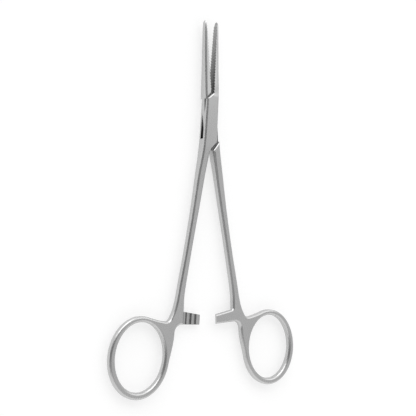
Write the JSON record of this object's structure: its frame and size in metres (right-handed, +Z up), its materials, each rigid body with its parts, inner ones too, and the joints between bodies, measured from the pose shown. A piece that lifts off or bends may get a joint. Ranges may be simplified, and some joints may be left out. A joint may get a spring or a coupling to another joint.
{
  "type": "hemostat forceps",
  "caption": "Straight hemostat forceps with slim cross-serrated jaws, box lock, long shanks, toothed ratchet and oval finger rings, lying half open.",
  "frame": {"origin": "the pivot's axis where it leaves the back face of the box lock, the face that the instrument lies on", "axes": "+Z up out of the front of the instrument, along the pivot; +Y along the middle line from the rings to the jaws; +X towards the tongue half's ring"},
  "size_m": [0.081, 0.1404, 0.0046],
  "materials": {
    "satin_steel": "satin stainless steel"
  },
  "bodies": {
    "box_side": {"box_half": "satin_steel", "pivot_pin": "satin_steel"},
    "tongue_side": {"tongue_half": "satin_steel"}
  },
  "joints": [
    {"name": "box_lock", "type": "hinge", "parent": "box_side", "child": "tongue_side", "pos_m": [0, 0, 0.0023], "axis": [0, 0, 1], "range_deg": [-7, 45]}
  ]
}
